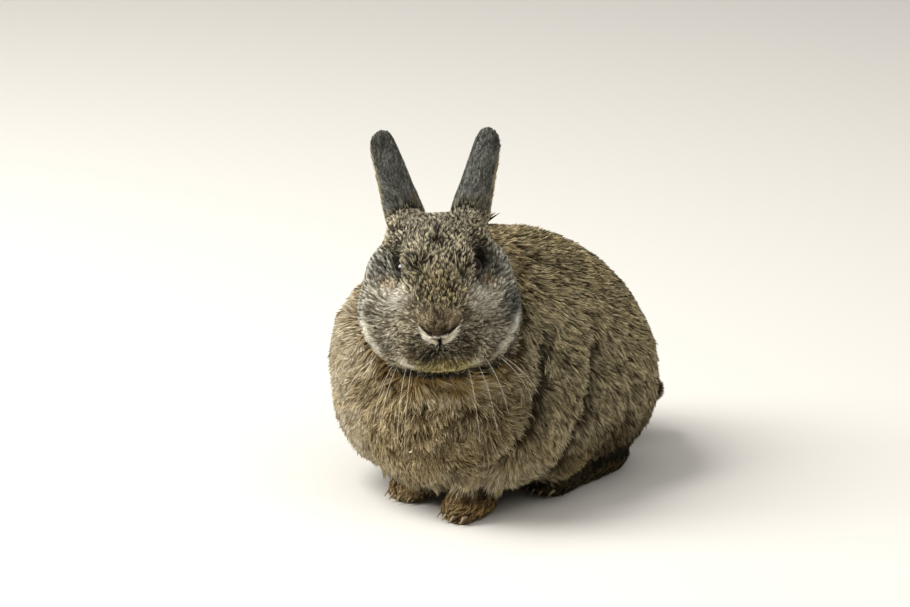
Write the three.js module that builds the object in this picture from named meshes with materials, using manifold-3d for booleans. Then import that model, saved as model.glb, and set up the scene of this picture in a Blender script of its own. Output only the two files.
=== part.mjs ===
// A rabbit with a wild-type coat, life size, sitting with its head turned to its left.
// The outer surface of the coat is one smooth field, blended from named masses of flesh and fur.
// Each sub-part is the stretch of that surface inside its own zone, parted by thin cuts.
// Millimetres, +Z up. The trunk looks along -Y, and the rabbit's left is +X. The soles are at Z = 0.
import * as THREE from "three";
import { mergeVertices } from "three/addons/utils/BufferGeometryUtils.js";
import Module from "manifold-3d";

const wasm = await Module();
wasm.setup();

// ---------- driving dimensions ----------

const TRUNK_LENGTH = 220; // chest to rump, over the coat
const TRUNK_WIDTH = 176; // across the haunches
const BACK_HEIGHT = 172; // floor to the top of the back
const BELLY_CLEARANCE = 8;

const HEAD_WIDTH = 102; // across the cheeks
const HEAD_LENGTH = 98; // nose tip to the back of the skull
const HEAD_YAW = 42; // degrees, turned to the left
const HEAD_ROLL = 1.7; // degrees, crown towards the right
const NOSE_TIP = [55, -118, 136];

const EYE_RADIUS = 8.6;
const EYE_CENTRE = [18.4, 42, 29]; // head frame, mirrored for the right eye

const EAR_LENGTH = 78;
const EAR_SHEET_WIDTH = { root: 47, tip: 21 }; // unrolled
const EAR_THICKNESS = 3.6;
const EAR_ROOT = [10, 76, 33]; // head frame
const EAR_SPLAY = 18; // degrees out from upright
const EAR_LEAN = 10; // degrees back from upright
const EAR_TWIST = 28; // degrees that the hollow is turned outwards from straight back

const FOREPAW_LENGTH = 42;
const FOREPAW_WIDTH = 26;
const FORELEG_HEIGHT = 62;
const FORELEG_X = { left: 38, right: -12 };
const FORE_TOES_Y = { left: -92, right: -87 };

const HIND_FOOT_LENGTH = 102;
const HIND_FOOT_WIDTH = 25;
const HIND_FOOT_X = 50;
const HIND_TOES_Y = -22;

const TAIL_LENGTH = 48;
const TAIL_RADIUS = 14;
const TAIL_MIDDLE = [21, 109, 33];
const TAIL_SWING = 46; // degrees to the left
const TAIL_ROOT = [10, 97, 38];

const CUT = 0.3; // width of the thin cuts between sub-parts
const FAR = 400; // half-size of the blocks that do the cutting
const SIDES = { left: 1, right: -1 };

const COAT_BROWN = 0x7d6d58;
const COAT_GREY = 0x6b6459;
const COAT_WARM = 0x86694a;
const EAR_GREY = 0x4a4641;
const EYE_DARK = 0x140d09;

// ---------- the field ----------

const UPRIGHT = new THREE.Matrix4();
const radians = THREE.MathUtils.degToRad;

// A mass is an ellipsoid in a frame, with the width over which it melts into the masses before it.
function mass(centre, radii, blend, turn = [0, 0, 0], frame = UPRIGHT) {
  const place = new THREE.Matrix4()
    .makeRotationFromEuler(new THREE.Euler(...turn.map(radians)))
    .setPosition(...centre)
    .premultiply(frame);
  return { inverse: place.clone().invert(), radii: new THREE.Vector3(...radii), blend };
}

// The same mass on both sides of the middle.
function pair([x, y, z], radii, blend, [pitch, roll, yaw] = [0, 0, 0], frame = UPRIGHT) {
  return Object.values(SIDES).map((s) =>
    mass([s * x, y, z], radii, blend, [pitch, s * roll, s * yaw], frame),
  );
}

const local = new THREE.Vector3();
const steep = new THREE.Vector3();

// Close to the distance from a point to an ellipsoid, negative inside.
function distanceTo(m, point) {
  local.copy(point).applyMatrix4(m.inverse).divide(m.radii);
  steep.copy(local).divide(m.radii);
  const share = local.length();
  return (share * (share - 1)) / Math.max(steep.length(), 1e-9);
}

// The smaller of two distances, with the corner between them filled over a width.
function melt(a, b, width) {
  if (width === 0) return Math.min(a, b);
  const near = Math.max(width - Math.abs(a - b), 0) / width;
  return Math.min(a, b) - (near * near * width) / 4;
}

// Masses add to the body, and hollows are taken from it afterwards.
function fieldOf(masses, hollows = []) {
  return (point) => {
    const full = masses.reduce((d, m) => melt(d, distanceTo(m, point), m.blend), 1e6);
    return hollows.reduce((d, h) => -melt(-d, distanceTo(h, point), h.blend), full);
  };
}

// ---------- the masses ----------

const L = TRUNK_LENGTH / 2;
const W = TRUNK_WIDTH / 2;
const H = BACK_HEIGHT;

const trunkMasses = [
  mass([-4, 0, 0.48 * H], [0.86 * W, 0.8 * L, 0.48 * H], 0),
  mass([0, 0.4 * L, 0.41 * H], [0.84 * W, 0.54 * L, 0.38 * H], 30, [-20, 0, 0]), // rump
  mass([-6, -0.5 * L, 0.42 * H], [0.85 * W, 0.44 * L, 0.3 * H], 30), // chest
  mass([0, 0.12 * L, 0.31 * H], [0.82 * W, 0.62 * L, 0.25 * H], 24), // belly
  mass([8, -0.7 * L, 0.38 * H], [0.56 * W, 0.3 * L, 0.25 * H], 22, [0, 8, 0]), // dewlap
  mass([-0.52 * W, -0.54 * L, 0.58 * H], [0.32 * W, 0.28 * L, 0.2 * H], 22), // skin drawn by the turn
  ...pair([0.48 * W, -0.44 * L, 0.37 * H], [0.42 * W, 0.38 * L, 0.29 * H], 9), // shoulder
  ...pair([0.54 * W, -0.1 * L, 0.38 * H], [0.42 * W, 0.26 * L, 0.32 * H], 8), // flank
  ...pair([0.55 * W, -0.1 * L, 0.24 * H], [0.36 * W, 0.3 * L, 0.15 * H], 10), // coat hanging over the hind toes
  mass([-0.4 * W, -0.5 * L, 0.3 * H], [0.38 * W, 0.36 * L, 0.17 * H], 16), // right side of the chest
  ...pair([0.5 * W, 0.38 * L, 0.36 * H], [0.44 * W, 0.44 * L, 0.32 * H], 9), // haunch
];

// The head frame: origin at the nose tip, +Y to the back of the head, +X to its left.
const headFrame = new THREE.Matrix4()
  .makeRotationFromEuler(new THREE.Euler(0, radians(-HEAD_ROLL), radians(HEAD_YAW), "ZYX"))
  .setPosition(...NOSE_TIP);

const HW = HEAD_WIDTH / 2;
const HL = HEAD_LENGTH;
const inHead = (centre, radii, blend, turn) => mass(centre, radii, blend, turn, headFrame);
const bothInHead = (centre, radii, blend, turn) => pair(centre, radii, blend, turn, headFrame);

const neckMasses = [
  inHead([0, 1.08 * HL, 0], [0.78 * HW, 0.36 * HL, 42], 26, [-20, 0, 0]),
];

const headMasses = [
  inHead([0, 0.64 * HL, 27], [0.62 * HW, 0.36 * HL, 31], 0), // skull
  inHead([0, 0.34 * HL, 4], [0.5 * HW, 0.34 * HL, 23], 22, [26, 0, 0]), // muzzle
  ...bothInHead([0.41 * HW, 0.52 * HL, 0], [0.59 * HW, 0.31 * HL, 35], 14), // cheek
  inHead([0, 0.36 * HL, -18], [0.6 * HW, 0.28 * HL, 14], 14), // lower jaw
  ...bothInHead([0.22 * HW, 0.15 * HL, -6], [0.24 * HW, 0.12 * HL, 10], 10), // whisker pad
  inHead([0, 0.08 * HL, 2], [0.17 * HW, 0.08 * HL, 8], 7), // nose
  ...bothInHead([0.66 * HW, 0.6 * HL, 24], [0.2 * HW, 0.17 * HL, 13], 10), // cheek fur behind the eye
  ...bothInHead([0.36 * HW, 0.46 * HL, 38], [0.22 * HW, 0.2 * HL, 8], 10), // brow
  ...bothInHead([0.4 * HW, 0.78 * HL, 42], [0.22 * HW, 0.15 * HL, 15], 12), // base of the ear
];

const socketHollows = bothInHead([33, 39, 28], [9, 13, 10], 14);

const headField = fieldOf(headMasses, socketHollows);
const bodyField = fieldOf([...trunkMasses, ...neckMasses]);

// Four toes side by side, the middle two further forward.
function toeMasses(x, tipY, width) {
  const pitch = width / 4.2;
  return [-1.5, -0.5, 0.5, 1.5].map((k) =>
    mass([x + k * pitch, tipY + 8 + 1.6 * k * k, 6], [pitch * 0.56, 9, 7.5], 2.5),
  );
}

function forelegMasses(name) {
  const x = FORELEG_X[name];
  const y = FORE_TOES_Y[name];
  const half = FOREPAW_WIDTH / 2;
  return [
    mass([x, y + 0.55 * FOREPAW_LENGTH, 8], [0.94 * half, 0.5 * FOREPAW_LENGTH, 12], 0),
    mass([x, y + 0.52 * FOREPAW_LENGTH, 0.5 * FORELEG_HEIGHT], [half, 15, 0.55 * FORELEG_HEIGHT], 9, [-8, 0, 0]),
    ...toeMasses(x, y, FOREPAW_WIDTH),
  ];
}

function hindFootMasses(sign) {
  const x = sign * HIND_FOOT_X;
  const half = HIND_FOOT_WIDTH / 2;
  return [
    mass([x, HIND_TOES_Y + 0.52 * HIND_FOOT_LENGTH, 8], [0.86 * half, 0.48 * HIND_FOOT_LENGTH, 13], 0),
    mass([x, HIND_TOES_Y + 22, 7], [half, 20, 11], 6),
    ...toeMasses(x, HIND_TOES_Y, HIND_FOOT_WIDTH),
  ];
}

const tailField = fieldOf([
  mass(TAIL_MIDDLE, [TAIL_RADIUS, TAIL_LENGTH / 2, TAIL_RADIUS], 0, [6, 0, -TAIL_SWING]),
  mass(TAIL_ROOT, [TAIL_RADIUS, 1.1 * TAIL_RADIUS, TAIL_RADIUS], 8), // long hair of the rump over its root
]);

// ---------- solids ----------

function solidFrom(geometry) {
  const bare = geometry.clone();
  bare.deleteAttribute("normal");
  bare.deleteAttribute("uv");
  const merged = mergeVertices(bare, 1e-4);
  return new wasm.Manifold(
    new wasm.Mesh({
      numProp: 3,
      vertProperties: merged.attributes.position.array,
      triVerts: new Uint32Array(merged.index.array),
    }),
  );
}

function geometryFrom(solid) {
  const { vertProperties, triVerts } = solid.getMesh();
  const geometry = new THREE.BufferGeometry();
  geometry.setAttribute("position", new THREE.BufferAttribute(vertProperties, 3));
  geometry.setIndex(new THREE.BufferAttribute(triVerts, 1));
  return geometry;
}

// Moves every vertex of a geometry to where a function puts it.
function reshaped(geometry, place) {
  const position = geometry.attributes.position;
  const point = new THREE.Vector3();
  for (let i = 0; i < position.count; i++) {
    place(point.fromBufferAttribute(position, i));
    position.setXYZ(i, point.x, point.y, point.z);
  }
  return geometry;
}

const MARCH = 2.5; // step along a ray, before the crossing is halved down
const HALVINGS = 14;

// A ball round a centre, each vertex moved out to the first place where the field reaches a level.
function seenFrom(centre, field, { detail, level = 0, reach = FAR }) {
  const middle = new THREE.Vector3(...centre);
  const way = new THREE.Vector3();
  const probe = new THREE.Vector3();
  const inside = (t) => field(probe.copy(middle).addScaledVector(way, t)) < level;
  const ball = reshaped(new THREE.IcosahedronGeometry(1, detail), (point) => {
    way.copy(point).normalize();
    let far = MARCH;
    while (far < reach && inside(far)) far += MARCH;
    let near = far - MARCH;
    for (let i = 0; i < HALVINGS; i++) {
      const half = (near + far) / 2;
      if (inside(half)) near = half;
      else far = half;
    }
    point.copy(middle).addScaledVector(way, Math.min(near, reach));
  });
  return solidFrom(ball);
}

function ellipsoid(centre, radii, gap, frame = UPRIGHT) {
  const ball = new THREE.SphereGeometry(1, 10, 8)
    .scale(...radii.map((r) => r + gap))
    .translate(...centre)
    .applyMatrix4(frame);
  return solidFrom(ball);
}

// Everything above a height.
function above(height) {
  return solidFrom(new THREE.BoxGeometry(2 * FAR, 2 * FAR, 2 * FAR).translate(0, 0, FAR + height));
}

// ---------- the zones that part the coat ----------

const neckZone = (gap) =>
  ellipsoid([0, 0.95 * HL, 8], [0.98 * HW, 0.42 * HL, 62], gap, headFrame);

const thighZone = (sign, gap) =>
  ellipsoid([sign * 1.05 * W, 0.34 * L, 0.26 * H], [0.6 * W, 0.5 * L, 0.36 * H], gap);

const worldOf = (point) => new THREE.Vector3(...point).applyMatrix4(headFrame).toArray();
const HEAD_CENTRE = worldOf([0, 0.52 * HL, 6]);
const NECK_CENTRE = worldOf([0, 1.1 * HL, 10]);
const TRUNK_CENTRE = [0, 0, 0.45 * H];

// ---------- the ears ----------

const RINGS_TO_ENDS = 0.6; // 0 spaces the rings evenly, 1 crowds them at root and tip

// A leaf drawn up along +Z from its root and rolled round that axis, hollow towards +Y.
function earLeaf(sign) {
  return reshaped(new THREE.SphereGeometry(1, 14, 15), (point) => {
    const ring = Math.acos(THREE.MathUtils.clamp(-point.y, -1, 1)) / Math.PI;
    const along = ring - (Math.sin(2 * Math.PI * ring) / (2 * Math.PI)) * RINGS_TO_ENDS;
    const round = Math.atan2(point.z, point.x);
    const outline = Math.sqrt(Math.max(1 - Math.pow(Math.abs(2 * along - 1), 9), 0));
    const roll = 3.7 - 1.3 * along;
    const sheet = THREE.MathUtils.lerp(EAR_SHEET_WIDTH.root, EAR_SHEET_WIDTH.tip, along);
    const width = sheet * outline;
    const thickness = EAR_THICKNESS * outline * (1.3 - 0.5 * along);
    const radius = width / roll;
    const depth = radius + (Math.sin(round) * thickness) / 2;
    const angle = (Math.cos(round) * roll) / 2;
    point.set(depth * Math.sin(angle), radius - depth * Math.cos(angle), along * EAR_LENGTH);
  })
    .rotateZ(radians(-sign * EAR_TWIST))
    .rotateX(radians(-EAR_LEAN))
    .rotateY(radians(sign * EAR_SPLAY))
    .translate(sign * EAR_ROOT[0], EAR_ROOT[1], EAR_ROOT[2])
    .applyMatrix4(headFrame);
}

// ---------- the parts, each cut clear of its neighbours ----------

const rabbit = new THREE.Group();

function add(name, solid, color, roughness = 0.95) {
  const looks = new THREE.MeshStandardMaterial({ color, roughness, metalness: 0 });
  const piece = new THREE.Mesh(geometryFrom(solid), looks);
  piece.name = name;
  rabbit.add(piece);
}

function eyeball(sign, gap) {
  const [x, y, z] = EYE_CENTRE;
  const radii = [EYE_RADIUS, EYE_RADIUS, EYE_RADIUS];
  return ellipsoid([sign * x, y, z], radii, gap, headFrame);
}

function foreleg(name, form) {
  const middle = [FORELEG_X[name], FORE_TOES_Y[name] + 0.7 * FOREPAW_LENGTH, 12];
  return seenFrom(middle, fieldOf(forelegMasses(name)), form);
}

function hindFoot(sign, form) {
  const middle = [sign * HIND_FOOT_X, HIND_TOES_Y + 0.5 * HIND_FOOT_LENGTH, 8];
  return seenFrom(middle, fieldOf(hindFootMasses(sign)), form);
}

const headBall = (form) => seenFrom(HEAD_CENTRE, headField, form);
const tailBall = (level) => seenFrom(TAIL_MIDDLE, tailField, { detail: 2, level });

// A hidden pocket is coarser than what sits in it, so it is let out further than a cut.
const HEAD_POCKET = { detail: 5, level: 1.3 };
const LIMB_POCKET = { detail: 3, level: 2.8 };
const LIMB = { detail: 4 };

const headGrown = headBall({ detail: 9, level: CUT });
const neckBall = (level) => seenFrom(NECK_CENTRE, bodyField, { detail: 5, level, reach: 110 });
const neckGrown = neckBall(CUT).intersect(neckZone(CUT));
let head = headBall({ detail: 9 });
let trunk = seenFrom(TRUNK_CENTRE, bodyField, { detail: 7 })
  .subtract(headBall(HEAD_POCKET))
  .subtract(neckZone(CUT))
  .subtract(tailBall(CUT))
  .intersect(above(BELLY_CLEARANCE));

for (const [name, sign] of Object.entries(SIDES)) {
  add(`eye_${name}`, eyeball(sign, 0), EYE_DARK, 0.1);
  head = head.subtract(eyeball(sign, CUT));

  const ear = solidFrom(earLeaf(sign)).subtract(headGrown).subtract(neckGrown);
  add(`ear_${name}`, ear, EAR_GREY);

  add(`foreleg_${name}`, foreleg(name, LIMB).intersect(above(0)), COAT_WARM);
  add(`hind_foot_${name}`, hindFoot(sign, LIMB).intersect(above(0)), COAT_GREY);
  trunk = trunk.subtract(foreleg(name, LIMB_POCKET)).subtract(hindFoot(sign, LIMB_POCKET));
  add(`thigh_${name}`, trunk.intersect(thighZone(sign, 0)), COAT_BROWN);
  trunk = trunk.subtract(thighZone(sign, CUT));
}

const neck = neckBall(0)
  .intersect(neckZone(0))
  .subtract(headBall(HEAD_POCKET));
add("head", head, COAT_GREY);
add("neck", neck, COAT_BROWN);
add("trunk", trunk, COAT_BROWN);
add("tail", tailBall(0), COAT_GREY);

// The origin is under the middle of the whole rabbit, on the floor.
const middle = new THREE.Box3().setFromObject(rabbit).getCenter(new THREE.Vector3());
rabbit.position.set(-middle.x, -middle.y, 0);

export default rabbit;
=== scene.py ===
import math

import bpy
import numpy as np
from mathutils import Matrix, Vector
from mathutils.bvhtree import BVHTree
from mathutils.kdtree import KDTree


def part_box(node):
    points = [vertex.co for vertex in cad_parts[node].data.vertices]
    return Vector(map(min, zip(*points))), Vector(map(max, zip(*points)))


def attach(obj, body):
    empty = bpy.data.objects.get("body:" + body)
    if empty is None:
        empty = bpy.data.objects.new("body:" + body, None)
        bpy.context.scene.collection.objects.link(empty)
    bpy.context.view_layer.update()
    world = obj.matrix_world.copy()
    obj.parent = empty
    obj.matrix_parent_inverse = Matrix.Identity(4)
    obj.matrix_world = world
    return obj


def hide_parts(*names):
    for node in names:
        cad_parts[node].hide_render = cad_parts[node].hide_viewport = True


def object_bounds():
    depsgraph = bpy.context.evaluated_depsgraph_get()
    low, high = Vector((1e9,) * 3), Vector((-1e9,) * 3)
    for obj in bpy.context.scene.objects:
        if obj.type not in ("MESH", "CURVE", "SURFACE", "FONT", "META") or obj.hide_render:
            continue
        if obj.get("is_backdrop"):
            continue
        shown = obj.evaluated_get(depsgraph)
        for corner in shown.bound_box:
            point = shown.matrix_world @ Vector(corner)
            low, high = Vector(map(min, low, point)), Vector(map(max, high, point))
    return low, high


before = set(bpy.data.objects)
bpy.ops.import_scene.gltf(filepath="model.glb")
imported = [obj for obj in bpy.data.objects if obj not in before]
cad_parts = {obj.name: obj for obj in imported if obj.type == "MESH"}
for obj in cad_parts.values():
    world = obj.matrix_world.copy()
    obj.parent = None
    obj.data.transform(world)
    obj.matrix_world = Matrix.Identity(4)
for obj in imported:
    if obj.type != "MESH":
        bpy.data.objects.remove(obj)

cad_low, cad_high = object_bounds()

# ---------------------------------------------------------------- the skin
# The hide of a rabbit is one closed sheet from the nose to the tail, drawn over flesh.
# It is grown from the solids of flesh, melted into one surface, and sunk below the tips
# of the coat by the depth that the fur has on each part of the body.

MM = 0.001
FLESH = (
    "head", "neck", "trunk", "tail", "thigh_left", "thigh_right",
    "foreleg_left", "foreleg_right", "hind_foot_left", "hind_foot_right",
)
EARS = ("ear_left", "ear_right")
EYES = ("eye_left", "eye_right")
SIDES = {"left": 1, "right": -1}
SWELL = 1.9 * MM  # closes the thin cuts between the solids
ROUGH_VOXEL = 2.0 * MM
FINE_VOXEL = 1.6 * MM

# Depth of the coat over the skin, in mm, by the part it grows on.
COAT_DEPTH = {
    "head": 3.9, "neck": 8.5, "trunk": 9.0, "tail": 6.0, "thigh": 8.5,
    "foreleg": 2.8, "hind_foot": 2.6, "ear": 1.0, "eye": 2.0,
}


def only(*pieces):
    bpy.ops.object.select_all(action="DESELECT")
    for piece in pieces:
        piece.select_set(True)
    bpy.context.view_layer.objects.active = pieces[0]


def finish_with(piece, kind, **settings):
    """Adds a modifier, sets it and applies it."""
    only(piece)
    modifier = piece.modifiers.new(kind.lower(), kind)
    for setting, value in settings.items():
        setattr(modifier, setting, value)
    bpy.ops.object.modifier_apply(modifier=modifier.name)


def read(collection, field, width, kind=np.float32):
    values = np.empty(len(collection) * width, kind)
    collection.foreach_get(field, values)
    return values.reshape(-1, width)


def points_of(piece):
    return read(piece.data.vertices, "co", 3).astype(float)


def normals_of(piece):
    return read(piece.data.vertices, "normal", 3).astype(float)


def links_of(piece):
    return read(piece.data.edges, "vertices", 2, np.int32)


def move_points(piece, points):
    piece.data.vertices.foreach_set("co", points.astype(np.float32).ravel())
    piece.data.update()


def unit(vectors):
    return vectors / np.linalg.norm(vectors, axis=-1, keepdims=True).clip(1e-12)


def ease(low, high, values):
    """0 at low, 1 at high, and smooth between them, whichever of the two is the greater."""
    t = np.clip((values - low) / (high - low), 0, 1)
    return t * t * (3 - 2 * t)


def stripe(far, half_width):
    """1 on a line and fading to both sides of it."""
    return np.exp(-((far / half_width) ** 2))


def spread(values, links, rounds, share=0.5):
    """Each round moves every vertex's values a share of the way to its neighbours' mean."""
    one, two = links.T
    size = len(values)
    count = np.bincount(links.ravel(), minlength=size).clip(1)[:, None]
    for _ in range(rounds):
        total = np.stack(
            [
                np.bincount(one, column[two], size) + np.bincount(two, column[one], size)
                for column in values.T
            ],
            axis=1,
        )
        values = values + share * (total / count - values)
    return values


def biggest_shell(piece):
    """Drops the closed pockets that are left inside, and keeps the outer surface."""
    only(piece)
    bpy.ops.object.mode_set(mode="EDIT")
    bpy.ops.mesh.select_all(action="SELECT")
    bpy.ops.mesh.separate(type="LOOSE")
    bpy.ops.object.mode_set(mode="OBJECT")
    shells = list(bpy.context.selected_objects)
    outer = max(shells, key=lambda shell: len(shell.data.vertices))
    for shell in shells:
        if shell is not outer:
            bpy.data.objects.remove(shell)
    return outer


def put(name, data):
    """Puts a new object with its mesh, lamp or camera into the scene."""
    made = bpy.data.objects.new(name, data)
    bpy.context.scene.collection.objects.link(made)
    return made


def swollen_copy(node):
    made = put("skin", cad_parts[node].data.copy())
    finish_with(made, "WELD", merge_threshold=0.01 * MM)
    finish_with(made, "DISPLACE", strength=SWELL, mid_level=0)
    return made


def shell_of(piece):
    """Points and faces of a piece."""
    return points_of(piece), [face.vertices for face in piece.data.polygons]


def gathered(shells):
    """Points and faces of several shells as one."""
    points, faces = [], []
    for its_points, its_faces in shells:
        start = len(points)
        points += [Vector(point) for point in its_points]
        faces += [tuple(start + k for k in face) for face in its_faces]
    return points, faces


# One tree of all the solids' faces tells which part a point of the skin belongs to.
part_names = FLESH + EARS + EYES
part_shells = [shell_of(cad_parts[node]) for node in part_names]
face_part = np.repeat(np.arange(len(part_names)), [len(faces) for _, faces in part_shells])
part_tree = BVHTree.FromPolygons(*gathered(part_shells))


def parts_at(points):
    found = [part_tree.find_nearest(Vector(point))[2] for point in points]
    return face_part[found]


def is_part(parts, *prefixes):
    wanted = [i for i, node in enumerate(part_names) if node.startswith(prefixes)]
    return np.isin(parts, wanted).astype(float)


# The head frame: origin at the tip of the nose, +Y to the back of the head, +X to its left.
def middle_of(node):
    low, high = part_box(node)
    return (low + high) / 2


EYE_BEHIND_NOSE = 42 * MM
EYE_ABOVE_NOSE = 29 * MM
eye_middles = {side: middle_of(f"eye_{side}") for side in SIDES}
head_x = (eye_middles["left"] - eye_middles["right"]).normalized()
head_y = Vector((0, 0, 1)).cross(head_x).normalized()
head_z = head_x.cross(head_y)
between_eyes = (eye_middles["left"] + eye_middles["right"]) / 2
nose_tip = np.array(between_eyes - head_y * EYE_BEHIND_NOSE - head_z * EYE_ABOVE_NOSE)
head_axes = np.array([head_x, head_y, head_z])


def in_head(points):
    """Head frame, in mm."""
    return (points - nose_tip) @ head_axes.T / MM


def out_of_head(points):
    return np.asarray(points) * MM @ head_axes + nose_tip


def blob(points, centre, radii, soft=0.35):
    """1 inside an ellipsoid, fading to 0 past its surface."""
    far = np.linalg.norm((points - np.array(centre)) / np.array(radii), axis=1)
    return 1 - ease(1 - soft, 1 + soft, far)


def both_sides(points):
    """Points of the right side of the head folded over onto the left."""
    return np.column_stack([np.abs(points[:, 0]), points[:, 1:]])


def near_line(points, line, half_width):
    """1 on a line through points, fading to 0 at twice the width."""
    nearest = np.full(len(points), np.inf)
    for start, end in zip(np.array(line[:-1], float), np.array(line[1:], float)):
        run = end - start
        share = ((points - start) @ run / (run @ run)).clip(0, 1)[:, None]
        nearest = np.minimum(nearest, np.linalg.norm(points - start - share * run, axis=1))
    return 1 - ease(half_width * 0.5, half_width * 2, nearest)


copies = [swollen_copy(node) for node in FLESH + EYES]
only(*copies)
bpy.ops.object.join()
skin = copies[0]
finish_with(skin, "REMESH", mode="VOXEL", voxel_size=ROUGH_VOXEL)
skin = biggest_shell(skin)

# The outline that the tips of the coat reach: this shell, drawn back to the solids' surface.
points, faces = shell_of(skin)
outline = [(points - normals_of(skin) * SWELL, faces)]
outline += [shell_of(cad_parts[node]) for node in EARS]
outline_tree = BVHTree.FromPolygons(*gathered(outline))

# The facets of the body are evened out. Each round draws the skin in and lets it out again,
# so that it keeps its bulk.
EVENING_ROUNDS = 45
DRAW_IN, LET_OUT = 0.5, -0.51
parts = parts_at(points_of(skin))
links = links_of(skin)
flesh_share = is_part(parts, "trunk", "thigh", "neck")[:, None]
flesh_share = spread(flesh_share, links, 8)
smooth = spread(points_of(skin), links, 8)
for _ in range(EVENING_ROUNDS):
    smooth = spread(smooth, links, 1, DRAW_IN * flesh_share)
    smooth = spread(smooth, links, 1, LET_OUT * flesh_share)
move_points(skin, smooth)


def coat_depth(points, normals, parts, links):
    """Depth of the coat in mm at each vertex, evened out over the borders of the parts."""
    depth = sum(is_part(parts, part) * mm for part, mm in COAT_DEPTH.items())
    q = in_head(points)
    muzzle = blob(q, (0, 6, 2), (22, 22, 20))
    nose = blob(q, (0, 2, 2), (11, 12, 9))
    jowl = blob(both_sides(q), (38, 58, -14), (22, 26, 26))
    brow = blob(q, (0, 40, 44), (26, 30, 16))
    depth += is_part(parts, "head") * (-2.0 * muzzle - 1.2 * nose + 2.2 * jowl - 0.8 * brow)
    depth += 2.5 * is_part(parts, "trunk") * ease(-0.2, -0.9, normals[:, 1])
    return spread(depth[:, None], links, 14)[:, 0]


# Folds where the skin hangs over itself behind the shoulder and before the haunch: each runs
# up the side through points of height and place along the body, in mm. The coat parts over
# the breastbone too, below a small hollow between the shoulders.
FOLDS = (
    ((28, -76), (53, -69), (93, -44), (128, -20)),
    ((30, -31), (44, -24), (62, -15), (92, 0), (116, 16)),
)
RIGHT_FOLDS = 0.6  # the turned head draws the right side's folds out
FOLD_DEPTH = 7.2
FOLD_LEAN = 0.88  # turns a step along the body into one square to a fold's leaning line
PARTING = ((30, 32), (45, 34), (64, 31))  # height and place across the body
CHEST_HOLLOW = (31, -109, 68)


def folds_at(points, normals):
    """For each fold: how far in mm each point lies behind its line, and how strong it is there."""
    p = points / MM
    for line in FOLDS:
        heights, places = np.array(line, float).T
        behind = FOLD_LEAN * (p[:, 1] - np.interp(p[:, 2], heights, places))
        strength = ease(heights[0] - 12, heights[0] + 6, p[:, 2])
        strength *= ease(heights[-1] + 12, heights[-1] - 26, p[:, 2])
        strength *= ease(0.25, 0.6, np.abs(normals[:, 0])) * ease(30, 50, np.abs(p[:, 0]))
        strength *= np.where(p[:, 0] > 0, 1, RIGHT_FOLDS)
        yield behind, strength


def hollows_at(points, normals):
    """Depth in mm of the folds and the parting: a fold is steep before and easy behind."""
    p = points / MM
    deep = np.zeros(len(p))
    for behind, strength in folds_at(points, normals):
        groove = np.where(behind > 0, np.exp(-behind / 8), np.exp(behind / 2.2))
        deep = np.maximum(deep, FOLD_DEPTH * strength * groove)
    heights, places = np.array(PARTING, float).T
    across = p[:, 0] - np.interp(p[:, 2], heights, places)
    parting = 3.6 * stripe(across, 3) * ease(24, 34, p[:, 2]) * ease(70, 60, p[:, 2])
    parting = np.maximum(parting, 5.0 * blob(p, CHEST_HOLLOW, (6, 9, 4.5), 0.5))
    return np.maximum(deep, parting * ease(-80, -90, p[:, 1]))


def ridges_at(points, normals):
    """1 on the rounded edge that stands out before each fold, where a highlight is painted on the coat.
    """
    ridges = [strength * stripe(behind + 7, 4) for behind, strength in folds_at(points, normals)]
    return np.max(ridges, axis=0)


FOLD_IN_SKIN = 0.55  # share of a fold's depth that is in the skin, the rest is in the coat
normals = normals_of(skin)
depth = coat_depth(smooth, normals, parts, links)
hollow = hollows_at(smooth, normals) * flesh_share[:, 0]
depth += FOLD_IN_SKIN * spread(hollow[:, None], links, 2)[:, 0]
sunk = smooth - normals * (depth * MM + SWELL)[:, None]
move_points(skin, spread(sunk, links, 2))
finish_with(skin, "REMESH", mode="VOXEL", voxel_size=FINE_VOXEL)
skin = biggest_shell(skin)
move_points(skin, spread(points_of(skin), links_of(skin), 3))

# The ears are leaves drawn up from the head and rolled, hollow towards the side and back.
EAR_LENGTH = 78
EAR_SHEET = (47, 21)  # width of the leaf when unrolled, at root and tip
EAR_ROLL = (3.7, 2.4)  # angle that the leaf is rolled through, at root and tip
EAR_THICKNESS = 3.6
EAR_ROOT = (10, 76, 33)
EAR_SPLAY, EAR_LEAN, EAR_TWIST = map(math.radians, (18, 10, 28))
EAR_COAT = 1.2  # the leaf of skin is thinner and narrower than the coat's outline


def between(ends, share):
    return ends[0] + (ends[1] - ends[0]) * share


def turn(points, axis, angle):
    """Turns points about one axis, x 0, y 1 or z 2."""
    a, b = [(1, 2), (2, 0), (0, 1)][axis]
    turned = points.copy()
    turned[:, a] = math.cos(angle) * points[:, a] - math.sin(angle) * points[:, b]
    turned[:, b] = math.sin(angle) * points[:, a] + math.cos(angle) * points[:, b]
    return turned


def ear_axes(points, sign):
    """Turns points of an upright ear to the way that it stands on the head."""
    points = turn(points, 2, -sign * EAR_TWIST)
    points = turn(points, 0, -EAR_LEAN)
    return turn(points, 1, sign * EAR_SPLAY)


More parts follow.
